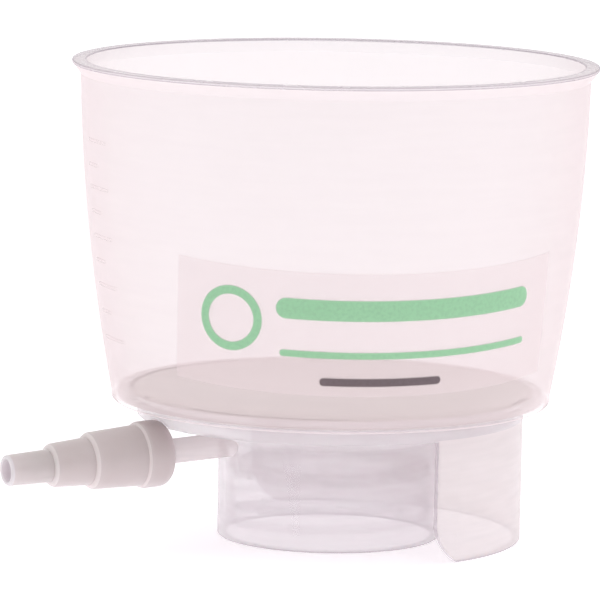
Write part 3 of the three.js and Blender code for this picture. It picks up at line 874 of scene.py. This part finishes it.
def haze(tree, shader, hides, power, streaks):
    """How much a see-through wall hides: more at a slant, and unevenly where the melt flowed."""
    facing = node(tree, "LayerWeight", {"Blend": 0.5}).outputs["Facing"]
    amount = spread(tree, maths(tree, "POWER", facing, power), *hides)
    flow = noise(tree, size=3 * MM, stretch=(9, 9, 1))
    uneven = spread(tree, flow, 1 - streaks, 1 + streaks, start=0.3, end=0.7)
    tree.links.new(maths(tree, "MULTIPLY", amount, uneven), shader.inputs["Alpha"])


def soak(shader):
    """Lets light soak through a milky plastic."""
    shader.inputs["Subsurface Weight"].default_value = SOAKED
    shader.inputs["Subsurface Radius"].default_value = (1.0, 0.9, 0.95)
    shader.inputs["Subsurface Scale"].default_value = SOAK_DEPTH


def clear_moulding(name, colour, hides, power=2.5, streaks=0.08, roughness=0.26, milky=False):
    """Clear or milky moulded plastic: how little and how much it hides, and a faint skin of flow marks."""
    material, tree, shader = finish(name, colour, roughness)
    if milky:
        soak(shader)
    haze(tree, shader, hides, power, streaks)
    mottle = noise(tree, size=7 * MM)
    tree.links.new(spread(tree, mottle, roughness - 0.05, roughness + 0.07), shader.inputs["Roughness"])
    skin = noise(tree, size=5 * MM, stretch=(4, 4, 1))
    tree.links.new(bump(tree, skin, depth=0.02 * MM, strength=0.2), shader.inputs["Normal"])
    return material


def adapter_plastic(name, colour, pale):
    """Satin white nozzle plastic, faintly clouded, with fine marks round it from the mould."""
    material, tree, shader = finish(name, colour, 0.36)
    shader.inputs["Sheen Weight"].default_value = 0.35
    shader.inputs["Sheen Roughness"].default_value = 0.5
    soak(shader)
    tinted(tree, shader, colour, pale, noise(tree, size=6 * MM))
    tree.links.new(spread(tree, noise(tree, size=4 * MM), 0.3, 0.42), shader.inputs["Roughness"])
    marks = noise(tree, size=0.6 * MM, stretch=(1, 12, 12))
    tree.links.new(bump(tree, marks, depth=0.03 * MM, strength=0.3), shader.inputs["Normal"])
    return material


def membrane_fabric():
    """Fine white filter membrane: matt, with a skin of tiny pores and faint clouds."""
    colour, cloud_colour = (0.74, 0.67, 0.66), (0.78, 0.72, 0.71)
    material, tree, shader = finish("filter_nylon", colour, 0.85)
    tinted(tree, shader, colour, cloud_colour, noise(tree, size=9 * MM, detail=4.0))
    pores = noise(tree, size=0.35 * MM, detail=3.0)
    tree.links.new(bump(tree, pores, depth=0.04 * MM, strength=0.6), shader.inputs["Normal"])
    return material


def seal_foam():
    """Soft white seal ring, lightly grained."""
    colour, grain_colour = (0.88, 0.82, 0.84), (0.92, 0.86, 0.87)
    material, tree, shader = finish("seal_foam", colour, 0.7)
    soak(shader)
    tinted(tree, shader, colour, grain_colour, noise(tree, size=2 * MM))
    grain = noise(tree, size=0.5 * MM)
    tree.links.new(bump(tree, grain, depth=0.05 * MM, strength=0.5), shader.inputs["Normal"])
    haze(tree, shader, hides=(0.26, 0.4), power=2.0, streaks=0.05)
    return material


# ---------------------------------------------------------------------------
# Label film and its plain print
# ---------------------------------------------------------------------------
FILM_COLOUR = (0.96, 0.85, 0.865)
FILM_HAZE = 0.25  # how much the bare film hides
PRINT_HAZE = 0.85  # how much the print hides
PRINT_GREEN = (0.36, 0.70, 0.42)
PRINT_GREY = (0.17, 0.125, 0.14)
PRINT_SOFT = 0.12 * MM
RING_MIDDLE = (-32.9 * MM, 15.6 * MM)  # from the label's middle along it, and from its foot up it
RING_RADIUS = 6.3 * MM
RING_LINE = 0.95 * MM  # half the width of its line
# each bar: its middle along the label and up it, half its length, half its height
WIDE_BAR = (8.0 * MM, 19.2 * MM, 30.6 * MM, 2.3 * MM)
THIN_BAR = (8.4 * MM, 9.2 * MM, 29.8 * MM, 0.75 * MM)
GREY_BAR = (1.2 * MM, 3.2 * MM, 13.6 * MM, 0.9 * MM)


def inside_edge(tree, distance, edge):
    """A mask of 1 where the distance is less than the edge, and 0 beyond it."""
    return spread(tree, distance, 1, 0, edge - PRINT_SOFT, edge + PRINT_SOFT)


def away_from(tree, along, up, middle):
    """How far a point of the label is from a middle, along and up it."""
    return maths(tree, "SUBTRACT", along, middle[0]), maths(tree, "SUBTRACT", up, middle[1])


def distance_of(tree, along, up):
    joined = node(tree, "CombineXYZ", {0: along, 1: up}).outputs[0]
    return node(tree, "VectorMath", {0: joined}, operation="LENGTH").outputs["Value"]


def bar_mask(tree, along, up, bar):
    """A printed bar with round ends."""
    *middle, half_length, half_height = bar
    across, above = away_from(tree, along, up, middle)
    past_end = maths(tree, "SUBTRACT", maths(tree, "ABSOLUTE", across), half_length - half_height)
    distance = distance_of(tree, maths(tree, "MAXIMUM", past_end, 0.0), above)
    return inside_edge(tree, distance, half_height)


def ring_mask(tree, along, up):
    distance = distance_of(tree, *away_from(tree, along, up, RING_MIDDLE))
    from_line = maths(tree, "ABSOLUTE", maths(tree, "SUBTRACT", distance, RING_RADIUS))
    return inside_edge(tree, from_line, RING_LINE)


def label_film():
    """Clear film with a plain print: a green ring, two green bars and a short grey one."""
    material, tree, shader = finish("label_film", FILM_COLOUR, 0.4)
    place = node(tree, "SeparateXYZ", {0: node(tree, "TexCoord").outputs["UV"]})
    along = maths(tree, "MULTIPLY", maths(tree, "SUBTRACT", place.outputs[0], 0.5), LABEL_WIDTH)
    up = maths(tree, "MULTIPLY", place.outputs[1], LABEL_HEIGHT)
    green = ring_mask(tree, along, up)
    for bar in (WIDE_BAR, THIN_BAR):
        green = maths(tree, "MAXIMUM", green, bar_mask(tree, along, up, bar))
    grey = bar_mask(tree, along, up, GREY_BAR)
    uneven = spread(tree, noise(tree, size=0.8 * MM), 0.86, 1.0, start=0.3, end=0.6)
    inked = maths(tree, "MULTIPLY", maths(tree, "MAXIMUM", green, grey), uneven)
    with_green = blend(tree, green, (*FILM_COLOUR, 1), (*PRINT_GREEN, 1))
    printed = blend(tree, grey, with_green, (*PRINT_GREY, 1))
    tree.links.new(printed, shader.inputs["Base Color"])
    tree.links.new(spread(tree, inked, FILM_HAZE, PRINT_HAZE), shader.inputs["Alpha"])
    tree.links.new(spread(tree, noise(tree, size=5 * MM), 0.34, 0.48), shader.inputs["Roughness"])
    creases = noise(tree, size=1.2 * MM)
    tree.links.new(bump(tree, creases, depth=0.02 * MM, strength=0.3), shader.inputs["Normal"])
    return material


# ---------------------------------------------------------------------------
# Which faces of a moulding take which finish
# ---------------------------------------------------------------------------
# each piece's finishes, in the order that the assembly gives them
CLEAR_WALL, INNER_SKIN, RIM_PAINTED_SHADE, LIP_PAINTED_SHADE, SCALE_MARK = range(5)
MILKY_WALL, INNER_WALL, EDGE_PAINTED_SHADE, DENSE_PAINTED_SHADE, THREAD_PAINTED_SHADE = range(5)
THICK_STEP, SHOULDER_PAINTED_HIGHLIGHT, TIP_PAINTED_GLOW = range(3)
SLACK = 0.1 * MM  # allowed between a face's middle and the surface that it belongs to
EDGE_ZONE = 0.6 * MM  # how far an edge's or a corner's own finish reaches
TIP_GLOW_REACH = 2.2 * MM  # how far back from its end the nozzle's thin tip is painted paler, as painted light soaking through it
ADAPTER_REACH = COLLAR_LENGTH + sum(step[2] for step in ADAPTER_STEPS)


def place_of(face):
    """A face's distance from the funnel's axis, and its height."""
    return math.hypot(face.center.x - AXIS_X, face.center.y), face.center.z


def funnel_part(face):
    """The rim's corners are painted as dark lines of shade, with its flat top and the lip's edge painted a
    paler shade between them.
    """
    radius, height = place_of(face)
    if radius > wall_radius(height) + SLACK and height < LIP_FOOT:
        return SCALE_MARK
    # painted shade: the rim's corners are painted dark, for the dark lines that refraction draws there
    if radius > LIP_RADIUS - EDGE_ZONE and height < RIM_TOP - LIP_EDGE + LIP_ROUND + SLACK / 2:
        return RIM_PAINTED_SHADE
    if radius > LIP_RADIUS - LIP_ROUND and height > RIM_TOP - LIP_ROUND:
        return RIM_PAINTED_SHADE
    if radius < MOUTH_RADIUS - WALL + RIM_ROUND and height > RIM_TOP - RIM_ROUND - SLACK / 2:
        return RIM_PAINTED_SHADE
    # painted shade: the lip's top and edge are painted darker than the wall
    if height > RIM_TOP - LIP_EDGE:
        return LIP_PAINTED_SHADE
    if radius < wall_radius(height) - WALL / 2:
        return INNER_SKIN
    return CLEAR_WALL


def base_part(face):
    """Outer walls are milky, inner ones add little to them, and edges and the welded band are denser and
    painted darker, as painted shade.
    """
    middle = face.center
    radius, height = place_of(face)
    above_underside = height - pan_underside(radius)
    # denser plastic, and painted shade: the welded band under the funnel's foot is painted darker
    if radius > PAN_RADIUS + SLACK / 2 and height > FLANGE_UNDERSIDE - EDGE_ZONE:
        return DENSE_PAINTED_SHADE
    from_port = (middle - BOSS_MIDDLE).cross(PORT_ALONG).length
    if from_port < PORT_BORE + SLACK and middle.x < BOSS_MIDDLE.x:
        return INNER_WALL
    # painted shade: the port's boss and tube under the pan are painted darker
    if from_port < BOSS_RADIUS + SLACK and radius > NECK_RADIUS and middle.x < AXIS_X:
        return DENSE_PAINTED_SHADE
    # painted shade: the neck's bottom edge is painted dark
    if height < NECK_EDGE:
        return EDGE_PAINTED_SHADE
    # painted shade: the thread's faces are painted darker, so that it shows as dark lines through the neck
    crest = NECK_BORE - THREAD_HEIGHT
    if crest - SLACK < radius < NECK_BORE - SLACK / 2 and height < LAND_UNDERSIDE - EDGE_ZONE:
        return THREAD_PAINTED_SHADE
    if radius < NECK_BORE + SLACK or (radius < WELL_RADIUS + SLACK and height > LAND_UNDERSIDE):
        return INNER_WALL
    if above_underside > PAN_FLOOR / 2 and radius < PAN_RADIUS - PAN_WALL + SLACK:
        return INNER_WALL
    if above_underside > -SLACK / 2 or radius <= SHELF_EDGE:
        return MILKY_WALL
    return skirt_part(face)


def skirt_part(face):
    """The skirt's upright cut edges with their painted shade, its inside, and its outside with the painted
    shade under the pan.
    """
    radius, height = place_of(face)
    outward = (face.center - at(0, height)) / radius
    # painted shade: the skirt's cut edges are painted dark
    if abs(face.normal.dot(outward)) < 0.5:
        return EDGE_PAINTED_SHADE
    if radius < PAN_RADIUS - PAN_WALL / 2:
        return INNER_WALL
    # painted shade: the skirt's outside, under the pan, is painted darker
    return DENSE_PAINTED_SHADE


def adapter_part(face):
    """The nozzle's bore and tip are painted paler, as painted light soaking through them, and its
    shoulders carry a painted highlight; its thick steps keep the plain colour.
    """
    along = (face.center - COLLAR_END).dot(PORT_ALONG)
    out = (face.center - COLLAR_END).cross(PORT_ALONG).length
    # painted light: the tip and the bore are painted paler, as though light soaked through them
    if along > ADAPTER_REACH - TIP_GLOW_REACH or out < ADAPTER_BORE + 0.4 * MM:
        return TIP_PAINTED_GLOW
    # painted highlight: shoulders that face the tip are painted paler, as though lit from the left
    if face.normal.dot(PORT_ALONG) > 0.5:
        return SHOULDER_PAINTED_HIGHLIGHT
    return THICK_STEP


def dress(piece, materials, slot, body, *nodes, part_of=None):
    """Gives a piece its materials, each face by its place, its body, and the nodes that it stands for."""
    piece.data.materials.clear()
    for material in materials:
        piece.data.materials.append(material)
    if part_of:
        for face in piece.data.polygons:
            face.material_index = part_of(face)
    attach(piece, body)
    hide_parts(*nodes)


# ---------------------------------------------------------------------------
# Assembly
# ---------------------------------------------------------------------------
make_camera()
make_world()
make_floor()
make_softbox("key", place=(0.25, -1.2, 1.5), size=(1.2, 1.2), power=5, aim=(0, 0, 0.06))
make_softbox("left", place=(-0.3, 0.1, 0.4), size=(0.25, 0.25), power=0.12, aim=(-0.06, 0, 0.02))

funnel_finishes = [
    clear_moulding("clear_wall", PINK_WHITE, hides=(0.34, 0.9), streaks=0.02, roughness=0.4),
    clear_moulding("inner_skin", PINK_WHITE, hides=(0.02, 0.15), power=4.0, streaks=0.2, roughness=0.4),
    # painted shade: dark lines at the rim's corners
    clear_moulding("rim_painted_shade_line", (0.38, 0.31, 0.37), hides=(0.5, 0.85)),
    # painted shade: the lip's band, darker than the wall
    clear_moulding("lip_painted_shade_band", (0.68, 0.60, 0.65), hides=(0.45, 0.7)),
    clear_moulding("scale_line", PINK_WHITE, hides=(0.05, 0.2), power=4.0, roughness=0.4),
]
dress(make_funnel(), funnel_finishes, "translucent_plastic", "unit", "funnel", part_of=funnel_part)

base_finishes = [
    clear_moulding("milky_wall", MILK_WHITE, hides=(0.42, 0.54), streaks=0.04, roughness=0.46, milky=True),
    clear_moulding("inner_wall", (0.94, 0.88, 0.92), hides=(0.04, 0.08), streaks=0.2, roughness=0.5),
    # painted shade: dark edges of the skirt and the neck
    clear_moulding("painted_shade_edge", (0.63, 0.57, 0.61), hides=(0.45, 0.65), roughness=0.34),
    # denser plastic, painted darker as the shade under the funnel's foot and the pan
    clear_moulding("dense_painted_shade", (0.86, 0.775, 0.78), hides=(0.55, 0.68), roughness=0.34),
    # painted shade: the thread, darker than the wall
    clear_moulding("thread_painted_shade", (0.68, 0.60, 0.66), hides=(0.16, 0.3), roughness=0.34),
]
thin_web = clear_moulding("thin_web", (0.90, 0.83, 0.88), hides=(0.03, 0.05), streaks=0.2, roughness=0.6)
dress(make_base(), base_finishes, "translucent_plastic", "unit", "base", part_of=base_part)
dress(make_webs(), [thin_web], "translucent_plastic", "unit", "base")

dress(make_membrane(), [membrane_fabric()], "membrane", "unit", "filter_membrane")
dress(make_seal(), [seal_foam()], "seal", "unit", "bottle_seal_ring")
dress(make_label(), [label_film()], "label_film", "unit", "front_label")

adapter_finishes = [
    adapter_plastic("nozzle_plastic", (0.62, 0.55, 0.545), (0.66, 0.59, 0.59)),
    # painted highlight on the shoulders
    adapter_plastic("nozzle_painted_highlight", (0.76, 0.69, 0.68), (0.80, 0.73, 0.73)),
    # painted light soaking through the tip and the bore
    adapter_plastic("nozzle_painted_glow_tip", (0.68, 0.63, 0.655), (0.72, 0.67, 0.695)),
]
dress(make_adapter(), adapter_finishes, "white_plastic", "adapter", "hose_adapter", part_of=adapter_part)

scene = bpy.context.scene
scene.view_settings.view_transform = "Standard"
scene.cycles.transparent_max_bounces = 32
